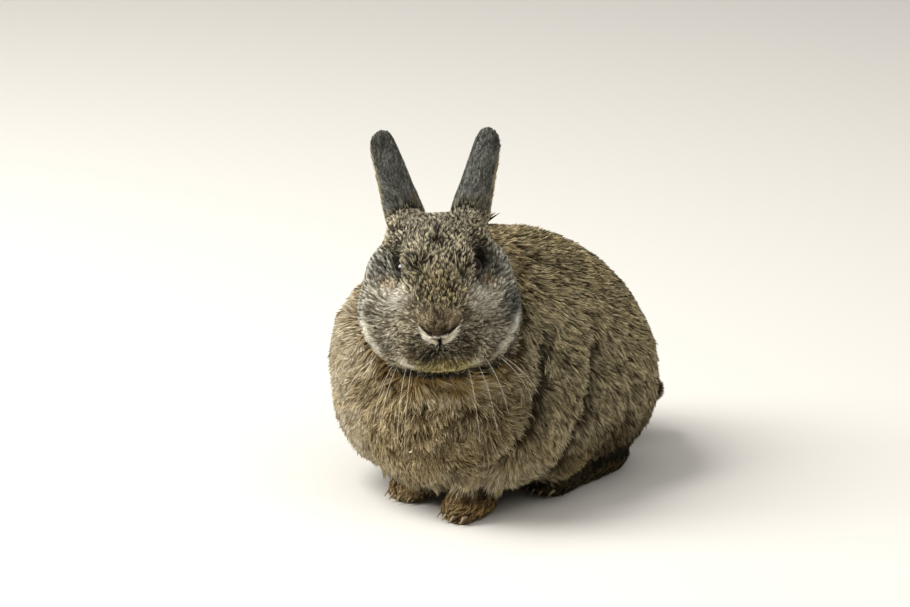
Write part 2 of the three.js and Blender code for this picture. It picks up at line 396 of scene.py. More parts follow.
def ear_leaf(side):
    sign = SIDES[side]
    bpy.ops.object.select_all(action="DESELECT")
    bpy.ops.mesh.primitive_uv_sphere_add(segments=44, ring_count=52, radius=1)
    leaf = bpy.context.object
    ball = points_of(leaf)
    ring = np.arccos(np.clip(-ball[:, 2], -1, 1)) / np.pi
    along = ring - np.sin(2 * np.pi * ring) / (2 * np.pi) * 0.6
    around = np.arctan2(-ball[:, 1], ball[:, 0])
    outline = np.sqrt(np.clip(1 - np.abs(2 * along - 1) ** 9, 0, 1))
    roll = between(EAR_ROLL, along)
    width = (between(EAR_SHEET, along) - 2 * EAR_COAT) * outline
    thick = (EAR_THICKNESS * (1.3 - 0.5 * along) - 2 * EAR_COAT) * outline
    radius = width / roll
    reach = radius + np.sin(around) * thick / 2
    angle = np.cos(around) * roll / 2
    points = np.stack([reach * np.sin(angle), radius - reach * np.cos(angle), along * EAR_LENGTH], axis=1)
    move_points(leaf, out_of_head(ear_axes(points, sign) + np.array(EAR_ROOT) * [sign, 1, 1]))
    return leaf


for side in SIDES:
    leaf = ear_leaf(side)
    finish_with(skin, "BOOLEAN", operation="UNION", object=leaf, solver="MANIFOLD")
    bpy.data.objects.remove(leaf)


def refine(piece, middle, radius, rounds):
    """Splits the faces within a radius of a point, so that fine forms can be shaped there."""
    for _ in range(rounds):
        only(piece)
        near = np.linalg.norm(points_of(piece) - np.array(middle), axis=1) < radius
        bpy.ops.object.mode_set(mode="EDIT")
        bpy.ops.mesh.select_mode(type="VERT")
        bpy.ops.mesh.select_all(action="DESELECT")
        bpy.ops.object.mode_set(mode="OBJECT")
        piece.data.vertices.foreach_set("select", near)
        bpy.ops.object.mode_set(mode="EDIT")
        bpy.ops.mesh.subdivide(number_cuts=1)
        bpy.ops.object.mode_set(mode="OBJECT")


for side in SIDES:
    refine(skin, eye_middles[side], 15 * MM, 2)
refine(skin, out_of_head((0, 4, -2)), 22 * MM, 1)
finish_with(skin, "TRIANGULATE")

# The edges where the ears rise from the head are smoothed over.
q = in_head(points_of(skin))
at_ear_root = blob(both_sides(q), (18, 76, 50), (18, 20, 12), 0.3)[:, None]
links = links_of(skin)
rounded = points_of(skin)
for _ in range(12):
    rounded = spread(rounded, links, 1, 0.5 * at_ear_root)

# Eyelids: the skin is drawn over the ball of the eye, with a rounded rim round the opening,
# and turned in under the ball inside it.
EYE_RADIUS = 8.6
LID_THICKNESS = 1.0
LID_TUCK = 1.6  # how deep the skin lies under the ball's surface inside the opening
LID_RIM = 0.35
LID_REACH = 20  # past this distance from the eye's middle the skin is left as it is
EYE_OPENING = math.radians(58)  # from the middle of the opening to its rim
EYE_OUTWARD = unit(np.array([0.985, -0.06, 0.04]))
eye_gap = (eye_middles["left"] - eye_middles["right"]).length / MM


def eye_angles(q, sign):
    """From the middle of an eye: the way and distance in mm, and angle from its outward axis."""
    away = q - np.array([sign * 0.5 * eye_gap, EYE_BEHIND_NOSE / MM, EYE_ABOVE_NOSE / MM])
    far = np.linalg.norm(away, axis=1)
    cosine = unit(away) @ (EYE_OUTWARD * [sign, 1, 1])
    return away, far, np.arccos(np.clip(cosine, -1, 1))


q = in_head(rounded)
for sign in SIDES.values():
    away, far, angle = eye_angles(q, sign)
    on_lid = ease(EYE_OPENING - 0.1, EYE_OPENING + 0.08, angle)
    lid = EYE_RADIUS - LID_TUCK + (LID_TUCK + LID_THICKNESS) * on_lid
    lid += LID_RIM * stripe(angle - EYE_OPENING - 0.11, 0.13)
    loose = ease(EYE_OPENING + 0.2, EYE_OPENING + 0.85, angle)
    wanted = lid + (far - lid) * loose
    near = far < LID_REACH
    q[near] += ((unit(away) * wanted[:, None]) - away)[near]

# Nose and mouth: the slit under the nose pad, the groove below it and the line of the mouth.
NOSE_BOTTOM = -3.0
NOSE_CURVE = 0.042  # the slit rises to both sides as a parabola
NOSE_HALF = 11.5
GROOVE_BOTTOM = -9.6
MOUTH_RISE = -0.035


def under_nose(q):
    """How far in mm a point of the face lies below the slit under the nose."""
    return NOSE_BOTTOM + NOSE_CURVE * q[:, 0] ** 2 - q[:, 2]


def under_mouth(q):
    """How far in mm a point of the face lies below the line of the mouth."""
    return GROOVE_BOTTOM + MOUTH_RISE * q[:, 0] ** 2 - q[:, 2]


def in_front(q):
    return ease(26, 16, q[:, 1])


move_points(skin, out_of_head(q))
aside = np.abs(q[:, 0])
below = under_nose(q)
slit = stripe(below, 1.0) * ease(NOSE_HALF + 1, NOSE_HALF - 3, aside)
groove = stripe(aside, 0.8) * ease(-0.6, 0.6, below) * ease(GROOVE_BOTTOM - 1, GROOVE_BOTTOM, q[:, 2])
mouth = stripe(under_mouth(q), 1.1) * ease(17, 12, aside)
lip = stripe(below - 2.4, 1.8) * ease(NOSE_HALF, NOSE_HALF - 4, aside) * ease(0.6, 3, aside)
form = in_front(q) * (1.1 * lip - 1.8 * slit - 1.4 * groove - 1.7 * mouth)
move_points(skin, points_of(skin) + normals_of(skin) * (form * MM)[:, None])

skin.name = skin.data.name = "skin"
only(skin)
bpy.ops.object.shade_smooth()

# The markings. A wild rabbit is agouti: each hair is dark at the root, banded with cream, and
# many have a dark tip. The ground colour and the band change over the body, and the hide
# shows the same. Some tones are painted shade and painted light, marked where they are laid.
TONES = {
    # name: (dark hair, pale band)
    "back": ("#3a2b14", "#ebdcb2"),
    "spine": ("#33250e", "#cbbb92"),
    "flank": ("#4b391e", "#f8e9c2"),
    "low_flank": ("#3a2b12", "#d0bb8a"),
    # painted shade: the low haunch darkened for the shadow under it
    "haunch_low_shade": ("#191107", "#766745"),
    # painted shadow: near black under the haunch
    "under_haunch_shadow": ("#080502", "#2b2314"),
    # painted shade in the folds, the parting and the chest hollow
    "fold_shade": ("#0e0904", "#3f3420"),
    # painted highlight on the rounded edge before each fold
    "ridge_highlight": ("#5a4826", "#f0e4c6"),
    # painted shade on the left shoulder, away from the key lamp
    "shoulder_shade": ("#2c1f0d", "#b4a178"),
    "chest": ("#543b12", "#f1dfb4"),
    # pale collar of hair, also painted light that lifts the chin's shadow
    "throat_collar_and_light": ("#b0945f", "#fff4d4"),
    # painted light: the right of the chest, towards the key lamp
    "chest_right_lit": ("#a08d66", "#fdf6e2"),
    "hem": ("#d2bd8a", "#fffaea"),
    "belly": ("#5d5137", "#c4b795"),
    "nape": ("#4f3c20", "#e6d3a6"),
    "tail_top": ("#1c150c", "#4d4128"),
    "tail_under": ("#b0a997", "#eae5d8"),
    "foreleg": ("#33210c", "#c0a06a"),
    # painted light: the right forepaw, on the key lamp's side
    "paw_right_lit": ("#5e4626", "#ecd3a2"),
    # painted shadow: foreleg tops under the hanging chest
    "leg_top_shadow": ("#1c1208", "#66502f"),
    # the feet's own dark fur, darkened further as painted shade under the haunch
    "hind_foot": ("#1d160b", "#6b5b38"),
    "toes": ("#42301a", "#bfa577"),
    "head": ("#1d170a", "#e0d3b0"),
    "crown": ("#191509", "#bdb398"),
    "bridge": ("#191306", "#dcc896"),
    "cheek": ("#524a36", "#f2ead4"),
    "muzzle": ("#4b402c", "#ebdfbe"),
    "temple": ("#4a463a", "#dedaca"),
    # painted shade with a painted bluish sheen of the sky, on the cheeks' edges
    "cheek_edge_shade_and_sheen": ("#1e1f19", "#84877e"),
    "under_ear": ("#35332a", "#cfccba"),
    # pale fringe of the cheeks, made near white as a painted highlight
    "jowl": ("#ddd4ba", "#fffdf4"),
    "nose": ("#3a2f1d", "#b9a782"),
    # painted shadow in the slit and groove under the nose
    "nose_slit_shade": ("#0e0903", "#2b2010"),
    "nose_wing": ("#5e4f37", "#b6a688"),
    "lips": ("#e6dcc4", "#fffdf6"),
    # painted shade under the upper lip and at the mouth's corners
    "mouth": ("#342b18", "#a8987a"),
    "chin": ("#57481f", "#dccf96"),
    "chin_white": ("#ddd6bd", "#fffdf4"),
    # dark fur round the eyes, with painted shade of the brow and socket
    "eye_ring_and_shade": ("#0b0704", "#2c2214"),
    "under_eye": ("#8f866e", "#fdf8ec"),
    "tear": ("#5f4a2b", "#ccb186"),
    "dark_spot": ("#120d05", "#3c341f"),
    "ear_back": ("#53534d", "#9d9d93"),
    "ear_root": ("#241c0d", "#b3a37a"),
    "ear_tip": ("#44433d", "#8a8980"),
    "ear_rim": ("#a3946a", "#f3e9c8"),
    "ear_inside": ("#6f6050", "#b9aa97"),
}


def linear(code):
    """sRGB hex to linear light."""
    parts = np.array([int(code[i:i + 2], 16) for i in (1, 3, 5)]) / 255
    return np.where(parts <= 0.04045, parts / 12.92, ((parts + 0.055) / 1.055) ** 2.4)


def ripple(points, size, seed, waves=7):
    """Smooth noise from a few crossing waves, from about -1 to 1, with features of one size."""
    dice = np.random.default_rng(seed)
    total = np.zeros(len(points))
    for _ in range(waves):
        way = unit(dice.normal(size=3)) * dice.uniform(0.7, 1.5) / size
        total += np.sin(points @ way * 2 * np.pi + dice.uniform(0, 2 * np.pi))
    return total / math.sqrt(waves)


def ear_fields(q):
    """For points on the ears: share of the length, way round towards the rims, and inside."""
    along, to_rim, inside = np.zeros((3, len(q)))
    for sign in SIDES.values():
        mine = q[:, 0] * sign > 0
        local = turn(q - np.array(EAR_ROOT) * [sign, 1, 1], 1, -sign * EAR_SPLAY)
        local = turn(turn(local, 0, EAR_LEAN), 2, sign * EAR_TWIST)
        share = (local[:, 2] / EAR_LENGTH).clip(0, 1)
        roll = between(EAR_ROLL, share)
        radius = between(EAR_SHEET, share) / roll
        angle = np.arctan2(local[:, 0], radius - local[:, 1])
        reach = np.hypot(local[:, 0], radius - local[:, 1])
        along[mine] = share[mine]
        to_rim[mine] = (sign * angle / (roll / 2))[mine]
        inside[mine] = ease(-0.2, -0.9, reach - radius)[mine]
    return along, to_rim, inside


JOWL_LINE = ((44, 35, -1), (40.5, 32, -9), (36, 29.5, -16), (32, 26, -19.5))  # pale edge of a cheek, made whiter by a painted highlight
CHEEK_SHADE = ((43, 30, 0), (39, 28, -8), (34, 25, -14), (28, 20, -17))  # painted shadow before it
CHEEK_LINES = 2.6  # half width of both
# The haunch is painted dark with shadow below a line, given by places along the body and heights.
UNDER_HAUNCH_SHADOW = ((-30, 16), (-19, 22), (9, 26), (34, 34), (51, 42), (75, 50))


def markings(points, normals, parts):
    """The dark hair's and the pale band's colour at each point, in linear light."""
    x, y, z = (points / MM).T
    q = in_head(points)
    either = both_sides(q)
    up = normals[:, 2]
    left = (q[:, 0] > 0).astype(float)
    along, to_rim, inside = ear_fields(q)
    wander = 0.12 * ripple(points / MM, 22, 3) + 0.08 * ripple(points / MM, 9, 4)
    front, aside, below = in_front(q), either[:, 0], under_nose(q)
    haunch_shadow_line = np.interp(y, *np.array(UNDER_HAUNCH_SHADOW, float).T)
    # Each part's tones, laid one over the other, each by the share that covers a point.
    layers = {
        ("trunk", "thigh"): (
            ("back", 1),
            ("spine", ease(0.35, 0.95, up + wander)),
            ("flank", ease(0.35, -0.1, up + wander) * ease(-70, -30, y)),
            ("low_flank", ease(62, 34, z + 60 * wander)),
            # Painted shade over the low haunch, darker towards the ground.
            ("haunch_low_shade", ease(84, 24, z + 40 * wander) * ease(-22, 10, y)),
            ("chest", ease(-28, -72, y + 60 * wander) * ease(0.6, 0.1, up)),
            # Painted shade on the left shoulder, turned from the key lamp.
            ("shoulder_shade", 0.8 * blob(points / MM, (74, -64, 84), (16, 16, 24), 0.6)),
            # Painted light on the right of the chest, on the key lamp's side.
            ("chest_right_lit", ease(-60, -85, y) * ease(2, -38, x + 60 * wander)),
            # Pale collar under the chin, made paler still as painted light against the chin's shadow.
            ("throat_collar_and_light", blob(q, (4, 27, -38), (34, 26, 13), 0.5)),
            ("hem", ease(50, 28, z + 50 * wander) * ease(-20, -60, y)),
            ("belly", ease(-0.45, -0.85, up)),
            # Painted shadow on the haunch below the line, where it curves under.
            ("under_haunch_shadow", ease(3, -3, z - haunch_shadow_line - 25 * wander) * ease(-40, -28, y)),
            # Painted highlight along the edge before each fold.
            ("ridge_highlight", 0.5 * ridges_at(points, normals)),
            # Painted shade, darkest where the folds, the parting and the chest hollow are deepest.
            ("fold_shade", 0.9 * (hollows_at(points, normals) / FOLD_DEPTH) ** 1.3),
        ),
        ("neck",): (
            ("nape", 1),
        ),
        ("tail",): (
            ("tail_top", 1),
            ("tail_under", ease(-0.35, -0.75, up)),
        ),
        ("foreleg",): (
            ("foreleg", 1),
            # Painted light on the right forepaw, which faces the key lamp.
            ("paw_right_lit", is_part(parts, "foreleg_right")),
            # Painted shadow on the tops of the forelegs, under the chest's hem.
            ("leg_top_shadow", ease(15, 19, z)),
            ("hem", ease(24, 28, z)),
            ("toes", ease(-79, -86, y + 40 * wander)),
        ),
        ("hind_foot",): (
            # Dark fur of the hind feet, with painted shade from the haunch above.
            ("hind_foot", 1),
        ),
        ("head", "eye"): (
            ("head", 1),
            ("crown", ease(40, 54, q[:, 2])),
            ("cheek", blob(either, (36, 34, 4), (22, 26, 26), 0.5)),
            # Painted shade and bluish sheen at the cheeks' edges, stronger on the left, turned from the
            # key lamp.
            ("cheek_edge_shade_and_sheen", (0.45 + 0.3 * left) * blob(either, (48, 42, 1), (9, 20, 22), 0.5)),
            # Painted shade over the left cheek, turned from the key lamp.
            ("cheek_edge_shade_and_sheen", 0.8 * left * blob(q, (42, 33, 4), (7, 10, 14), 0.5)),
            ("nape", 0.85 * ease(58, 82, q[:, 1] + 40 * wander) * ease(54, 38, q[:, 2])),
            ("under_ear", 0.9 * blob(either, (36, 60, 26), (12, 14, 9), 0.5)),
            ("temple", 0.9 * blob(either, (36, 51, 27), (9, 12, 13), 0.5)),
            ("muzzle", (0.9 - 0.5 * left) * blob(either, (17, 13, 7), (10, 13, 14), 0.5)),
            ("bridge", blob(q, (0, 13, 20), (12, 16, 14), 0.6)),
            # Painted shadow line just inside the pale edge of each cheek.
            ("cheek_edge_shade_and_sheen", 0.8 * near_line(either, CHEEK_SHADE, CHEEK_LINES)),
            # Pale fringe of the cheeks, also a painted highlight.
            ("jowl", near_line(either, JOWL_LINE, CHEEK_LINES)),
            # Dark fur round each eye, reaching up into painted shade under the brow.
            ("eye_ring_and_shade", blob(either, (25, 44, 31), (6, 8.5, 9.5))),
            # Painted shade: the left eye's socket lies in shadow.
            ("eye_ring_and_shade", left * blob(q, (28, 46, 32), (6.5, 8.5, 9.5), 0.5)),
            ("under_eye", blob(either, (23, 21, 14), (7, 8, 8), 0.6)),
            ("tear", 0.55 * blob(either, (31, 42, 18), (5, 8, 4), 0.6)),
            ("dark_spot", 0.95 * blob(q, (-1, 34.5, 45.5), (4.4, 7, 5), 0.5)),
            ("nose", front * ease(-1.0, -2.4, below) * blob(q, (0, 4, 6), (10, 10, 10), 0.4)),
            ("nose_wing", front * blob(either, (7.2, 4, 6.6), (3.8, 7, 4.2), 0.4)),
            # Painted shadow in the slit under the nose pad.
            ("nose_slit_shade", front * stripe(below + 2.5, 0.8) * ease(1, 3, aside) * ease(11, 8, aside)),
            # Painted shade under the upper lip, to both sides of the groove.
            ("mouth", front * blob(either, (14.5, 6, -12.5), (5.5, 9, 3.6), 0.5)),
            ("chin", blob(q, (0, 12, -22), (24, 18, 8), 0.2)),
            # Painted shade at the corners of the mouth, above the chin.
            ("mouth", 0.8 * blob(either, (28, 22, -19), (4, 9, 6), 0.5)),
            ("chin_white", (1 - 0.5 * left) * blob(either, (19.5, 14, -19.5), (6, 8, 4.4), 0.3)),
            ("lips", front * ease(-2.0, -1.4, below) * ease(3.1, 2.3, below + 0.06 * aside)
             * ease(NOSE_HALF - 0.5, NOSE_HALF - 2.5, aside)),
            # Painted shadow in the groove below the nose.
            ("nose_slit_shade", front * ease(1.3, 0.7, aside) * ease(-1.5, -0.5, below) * ease(3.6, 2.0, below)),
        ),
        ("ear",): (
            ("ear_back", 1),
            ("ear_root", ease(0.36, 0.14, along + 0.6 * wander)),
            ("ear_tip", ease(0.72, 0.92, along + 0.3 * wander)),
            ("ear_inside", inside * ease(0.92, 0.78, along)),
            ("ear_rim", ease(0.7, 0.86, to_rim) * ease(0.88, 0.66, along)),
        ),
    }
    dark, pale = np.zeros((2, len(points), 3))
    for part, tones in layers.items():
        on_part = is_part(parts, *part)
        for name, cover in tones:
            share = np.clip(on_part * cover, 0, 1)[:, None]
            for colour, code in zip((dark, pale), TONES[name]):
                colour += (linear(code) - colour) * share
    return dark, pale


def add_colours(piece, name, colours):
    layer = piece.data.attributes.new(name, "FLOAT_COLOR", "POINT")
    rgba = np.ones((len(colours), 4), np.float32)
    rgba[:, :3] = colours
    layer.data.foreach_set("color", rgba.ravel())


def new_material(name):
    """A new material with its tree of nodes and its principled shader."""
    made = bpy.data.materials.new(name)
    made.use_nodes = True
    tree = made.node_tree
    shader = next(n for n in tree.nodes if n.type == "BSDF_PRINCIPLED")
    return made, tree, shader


def set_inputs(tree, made, inputs):
    """Gives a node's inputs their values, or the sockets that feed them."""
    for key, value in inputs.items():
        if isinstance(value, bpy.types.NodeSocket):
            tree.links.new(value, made.inputs[key])
        else:
            made.inputs[key].default_value = value


def add_node(tree, kind, inputs, stops=(), **settings):
    """Adds a node with its settings and inputs and, to a ramp, its stops of place and colour."""
    made = tree.nodes.new("ShaderNode" + kind)
    for setting, value in settings.items():
        setattr(made, setting, value)
    set_inputs(tree, made, inputs)
    if stops:
        elements = made.color_ramp.elements
        while len(elements) < len(stops):
            elements.new(0.5)
        for element, (at, colour) in zip(elements, stops):
            element.position = at
            element.color = (*colour, 1)
    return made


# Underfur: the short grey-brown wool on the hide, dull and soft. Its fibres are too fine to
# show, so they are drawn as a grain of 0.7 mm, in colour and as a shallow bump.
UNDERFUR_GRAIN = 0.7 * MM
underfur, tree, shader = new_material("underfur_on_hide")
dark = add_node(tree, "Attribute", {}, attribute_name="coat_dark")
pale = add_node(tree, "Attribute", {}, attribute_name="coat_pale")
place = add_node(tree, "TexCoord", {})
grain = add_node(tree, "TexNoise", {
    "Vector": place.outputs["Object"], "Scale": 1 / UNDERFUR_GRAIN, "Detail": 3.0, "Roughness": 0.6,
})
contrast = add_node(tree, "MapRange", {
    "Value": grain.outputs["Fac"], "From Min": 0.35, "From Max": 0.7, "To Max": 0.55,
})
colour = add_node(tree, "Mix", {
    0: contrast.outputs["Result"], 6: dark.outputs["Color"], 7: pale.outputs["Color"],
}, data_type="RGBA")
bump = add_node(tree, "Bump", {"Height": grain.outputs["Fac"], "Strength": 0.7, "Distance": 0.6 * MM})
set_inputs(tree, shader, {
    "Base Color": colour.outputs[2], "Normal": bump.outputs["Normal"],
    "Roughness": 0.9, "Specular IOR Level": 0.15,
})
skin.data.materials.clear()
skin.data.materials.append(underfur)

skin_points, skin_normals, skin_links = points_of(skin), normals_of(skin), links_of(skin)
skin_parts = parts_at(skin_points)
skin_dark, skin_pale = markings(skin_points, skin_normals, skin_parts)
add_colours(skin, "coat_dark", spread(skin_dark, skin_links, 2))
add_colours(skin, "coat_pale", spread(skin_pale, skin_links, 2))
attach(skin, "root")
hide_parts(*FLESH, *EARS)


# ---------------------------------------------------------------- the eyes
# A rabbit's eye is a wet ball with a dark brown iris and a wide black pupil, bulging to the side.
# It is a turned ball with a raised cornea, set in its socket under the lids.

CORNEA_BULGE = 0.5
IRIS_FIBRE = 1.11 * MM
# Rings of the eye by how squarely a place faces outward, from its side at 0 to its middle at 1:
# dark brown iris, pupil from 0.88.
EYE_RINGS = (
    (0.0, "#050302"), (0.50, "#070403"), (0.60, "#120a05"), (0.80, "#1e1108"),
    (0.865, "#0c0603"), (0.885, "#020202"), (1.0, "#010101"),
)


def wet_eye(side):
    """Living eye: a film of tears over the cornea, nearly black, with one sharp highlight."""
    made, tree, shader = new_material(f"wet_eye_{side}")
    outward = Vector(np.array(EYE_OUTWARD * [SIDES[side], 1, 1]) @ head_axes)
    place = add_node(tree, "TexCoord", {})
    centred = add_node(tree, "Mapping", {
        "Vector": place.outputs["Object"], "Location": -eye_middles[side],
    })
    facing = add_node(tree, "VectorMath", {
        0: centred.outputs["Vector"], 1: outward / (EYE_RADIUS * MM),
    }, operation="DOT_PRODUCT")
    fibres = add_node(tree, "TexNoise", {
        "Vector": centred.outputs["Vector"], "Scale": 1 / IRIS_FIBRE, "Detail": 4.0,
    })
    wavy = add_node(tree, "Math", {
        0: fibres.outputs["Fac"], 1: 0.05, 2: facing.outputs["Value"],
    }, operation="MULTIPLY_ADD")
    rings = add_node(tree, "ValToRGB", {"Fac": wavy.outputs["Value"]},
                     [(at, linear(code)) for at, code in EYE_RINGS])
    set_inputs(tree, shader, {
        "Base Color": rings.outputs["Color"], "Roughness": 0.03, "IOR": 1.34,
        "Specular IOR Level": 0.5, "Coat Weight": 0.45, "Coat Roughness": 0.02,
    })
    return made


for side, sign in SIDES.items():
    bpy.ops.object.select_all(action="DESELECT")
    bpy.ops.mesh.primitive_uv_sphere_add(segments=72, ring_count=48, radius=EYE_RADIUS * MM)
    ball = bpy.context.object
    ball.name = ball.data.name = f"eyeball_{side}"
    outward = unit(np.array(EYE_OUTWARD * [sign, 1, 1]) @ head_axes)
    points = points_of(ball)
    facing = unit(points) @ outward
    cornea = CORNEA_BULGE * ease(0.55, 0.95, facing)
    bulging = points + unit(points) * (cornea * MM)[:, None]
    move_points(ball, bulging + np.array(eye_middles[side]))
    only(ball)
    bpy.ops.object.shade_smooth()
    ball.data.materials.append(wet_eye(side))
    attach(ball, "root")
    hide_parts(f"eye_{side}")


# ---------------------------------------------------------------- the coat
# Dense fur of guard hair over wool. Single hairs are too fine to show, so each tuft is a thin
# closed spindle of many that grows from the skin, rises and bends over to lie back along the
# body. The tips end at the outline of the solids.

COAT_SEED = 7
dice = np.random.default_rng(COAT_SEED)


def streaks(points, lie, width, reach, seed, evenness=0.6, waves=48):
    """Smooth noise drawn out along the lie of the hair, with features of a width, in mm."""
    dice = np.random.default_rng(seed)
    total = np.zeros(len(points))
    for _ in range(waves):
        way = unit(dice.normal(size=3)) * dice.uniform(evenness, 2 - evenness) / width
        drawn_out = np.sinc(2 * reach * (lie @ way))
        total += drawn_out * np.sin(points @ way * 2 * np.pi + dice.uniform(0, 2 * np.pi))
    return total / total.std()


def add_numbers(piece, name, values):
    layer = piece.data.attributes.new(name, "FLOAT", "POINT")
    layer.data.foreach_set("value", values.astype(np.float32))


def leaned(way, towards, angle):
    """A direction turned from one way towards another, square to it, by an angle for each."""
    return way * np.cos(angle)[:, None] + towards * np.sin(angle)[:, None]


def square_to(vectors, axis):
    """What is left of vectors when their part along an axis is taken off."""
    return vectors - axis * (vectors * axis).sum(1, keepdims=True)


def flow_field(points, normals, parts, links):
    """The way that the hair lies at each vertex, along the skin."""
    x, q = points[:, 0] / MM, in_head(points)
    by_head = ease(85, 45, np.linalg.norm(q - [0, 45, 0], axis=1))[:, None]
    fall = 0.5 + 1.9 * (1 - np.abs(normals[:, 2]))[:, None] + 2.0 * by_head
    parted = ((x + 4) / 30).clip(-1, 1)[:, None] * (0.5 + 0.9 * by_head)
    body_flow = np.array([0, 1, 0]) - fall * np.array([0, 0, 1]) + parted * np.array([1, 0, 0])
    slit_rise = NOSE_BOTTOM + NOSE_CURVE * np.abs(q[:, 0]).clip(0, NOSE_HALF) ** 2
    from_nose = unit(q - np.column_stack([0 * slit_rise, 2 + 0 * slit_rise, slit_rise]))
    sweep = ease(30, 80, q[:, 1])[:, None]
    head_flow = from_nose * (1 - 0.5 * sweep) + sweep * np.array([0, 0.8, -0.2])
    upright = np.array([[0.0, 0.0, 1.0]])
    flow = sum(
        is_part(parts, *part)[:, None] * part_flow
        for part, part_flow in (
            (("trunk", "thigh", "neck"), body_flow),
            (("head", "eye"), head_flow @ head_axes),
            (("ear_left",), ear_axes(upright, SIDES["left"]) @ head_axes),
            (("ear_right",), ear_axes(upright, SIDES["right"]) @ head_axes),
            (("foreleg",), np.array([0, -0.9, -0.7])),
            (("hind_foot",), np.array([0, -1, -0.25])),
            (("tail",), np.array([0.72, 0.69, 0.05])),
        )
    )
    for _ in range(4):
        flow = spread(unit(square_to(flow, normals)), links, 6)
    return unit(square_to(flow, normals))


# Per part: tufts per square mm, width of a tuft, rise at the root and at the tip in degrees,
# pull towards the lock, size of a lock and wander of the lie in degrees.
GROOM_WORDS = ("density", "width", "rise", "lie", "pull", "lock_size", "wander")
GROOM = {
    "trunk": (2.8, 0.7, 50, 24, 0.3, 2.2, 17),
    "thigh": (2.8, 0.7, 50, 24, 0.3, 2.2, 15),
    "neck": (2.8, 0.7, 48, 22, 0.3, 2.0, 17),
    "tail": (3.0, 0.8, 52, 34, 0.1, 2.2, 14),
    "head": (4.0, 0.66, 48, 16, 0.2, 1.5, 20),
    "eye": (3.4, 0.45, 40, 12, 0.1, 1.6, 8),
    "ear": (3.6, 0.55, 24, 7, 0.1, 1.8, 12),
    "foreleg": (3.2, 0.8, 40, 16, 0.2, 2.4, 14),
    "hind_foot": (2.8, 0.8, 40, 16, 0.2, 2.4, 14),
}


def groom_fields(parts, links):
    """Each groom value at each vertex, evened out over the borders of the parts."""
    table = np.zeros((len(parts), len(GROOM_WORDS)))
    for part, values in GROOM.items():
        table += is_part(parts, part)[:, None] * np.array(values)
    return spread(table, links, 8)


skin.data.calc_loop_triangles()
triangles = read(skin.data.loop_triangles, "vertices", 3, np.int32)

corners = skin_points[triangles]
edges = corners[:, 1:] - corners[:, :1]
areas = np.linalg.norm(np.cross(edges[:, 0], edges[:, 1]), axis=1) / 2 / MM ** 2

skin_q = in_head(skin_points)
fields = groom_fields(skin_parts, skin_links)
coat = dict(zip(GROOM_WORDS, fields.T))
depth = np.array([part_tree.find_nearest(Vector(point))[3] for point in skin_points]) / MM
depth = np.maximum(depth, coat_depth(skin_points, skin_normals, skin_parts, skin_links))
depth = spread(depth[:, None], skin_links, 6)[:, 0]
flow = flow_field(skin_points, skin_normals, skin_parts, skin_links)


def groom_more(where, **changes):
    """Changes values of the groom by an amount, by the share that a field gives each vertex."""
    for word, change in changes.items():
        coat[word] += change * where


# Chest and throat are more tousled, muzzle and nose finest, and the underside thinner.
front_chest = is_part(skin_parts, "trunk") * ease(-0.1, -0.7, skin_normals[:, 1])
front_chest = spread(front_chest[:, None], skin_links, 8)[:, 0]
groom_more(front_chest, pull=0.08, wander=14, density=0.6, width=-0.06, lie=4, rise=4)
cheeks = is_part(skin_parts, "head") * ease(20, 30, np.abs(skin_q[:, 0])) * ease(30, 18, skin_q[:, 2])
groom_more(spread(cheeks[:, None], skin_links, 6)[:, 0], wander=-10)
muzzle = blob(skin_q, (0, 6, 0), (20, 20, 18), 0.4)
mouth_and_nose = blob(skin_q, (0, 2, -3), (13, 12, 11), 0.3)
groom_more(muzzle, density=1.2, width=-0.14, rise=-10, lie=-8, wander=-8)
groom_more(mouth_and_nose, density=2.4, width=-0.16)
depth = depth + (1.0 - depth) * 0.8 * mouth_and_nose
lids = np.ones(len(skin_points))
for sign in SIDES.values():
    away, far, angle = eye_angles(skin_q, sign)
    lids[(far < LID_REACH) & (angle < EYE_OPENING + 0.1)] = 0
    ring = (far < 18) * ease(EYE_OPENING + 0.8, EYE_OPENING + 0.2, angle)
    groom_more(ring, width=-0.2, density=1.5)
    depth = depth + (1.2 - depth) * ring
coat["density"] *= lids
below = (skin_normals[:, 2] < -0.6) & (skin_points[:, 2] < 25 * MM)
coat["density"][below] *= 0.5

want = coat["density"][triangles].mean(1).clip(0) * areas
count = int(want.sum())
chosen = dice.choice(len(triangles), count, p=want / want.sum())
pair = dice.random((count, 2))
folded = pair.sum(1) > 1
pair[folded] = 1 - pair[folded]
weights = np.column_stack([1 - pair.sum(1), pair])


def at_roots(values):
    """A value of the skin's vertices at the root of every tuft."""
    values = np.asarray(values)
    weight = weights if values.ndim == 1 else weights[:, :, None]
    return (values[triangles[chosen]] * weight).sum(1)


root = at_roots(skin_points)
normal = unit(at_roots(skin_normals))
root_part = parts_at(root)
lie = unit(square_to(at_roots(flow), normal))
groom = {word: at_roots(values) for word, values in coat.items()}
root_depth = at_roots(depth).clip(0.5)

